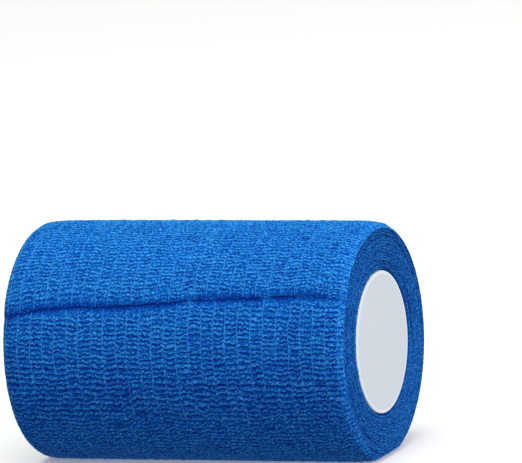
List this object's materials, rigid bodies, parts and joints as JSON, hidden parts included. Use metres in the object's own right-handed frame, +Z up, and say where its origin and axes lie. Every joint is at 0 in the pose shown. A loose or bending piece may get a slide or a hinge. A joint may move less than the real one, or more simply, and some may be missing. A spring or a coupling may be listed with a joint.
{
  "type": "cohesive bandage roll",
  "caption": "Roll of crinkled, self-clinging elastic bandage wound on a closed pale core, lying on its side with its cut end pressed down.",
  "frame": {"origin": "on the surface it lies on, under the middle of the roll", "axes": "+X along the roll's axis, +Z up; the cut end lies on the -Y side, a little above half height"},
  "size_m": [0.075, 0.0494, 0.0487],
  "materials": {
    "crinkled_cloth": "matt crinkled non-woven cloth, saturated mid blue",
    "pale_core": "smooth matt pale grey-blue"
  },
  "bodies": {
    "root": {"wound_cloth": "crinkled_cloth", "core": "pale_core"}
  },
  "joints": []
}
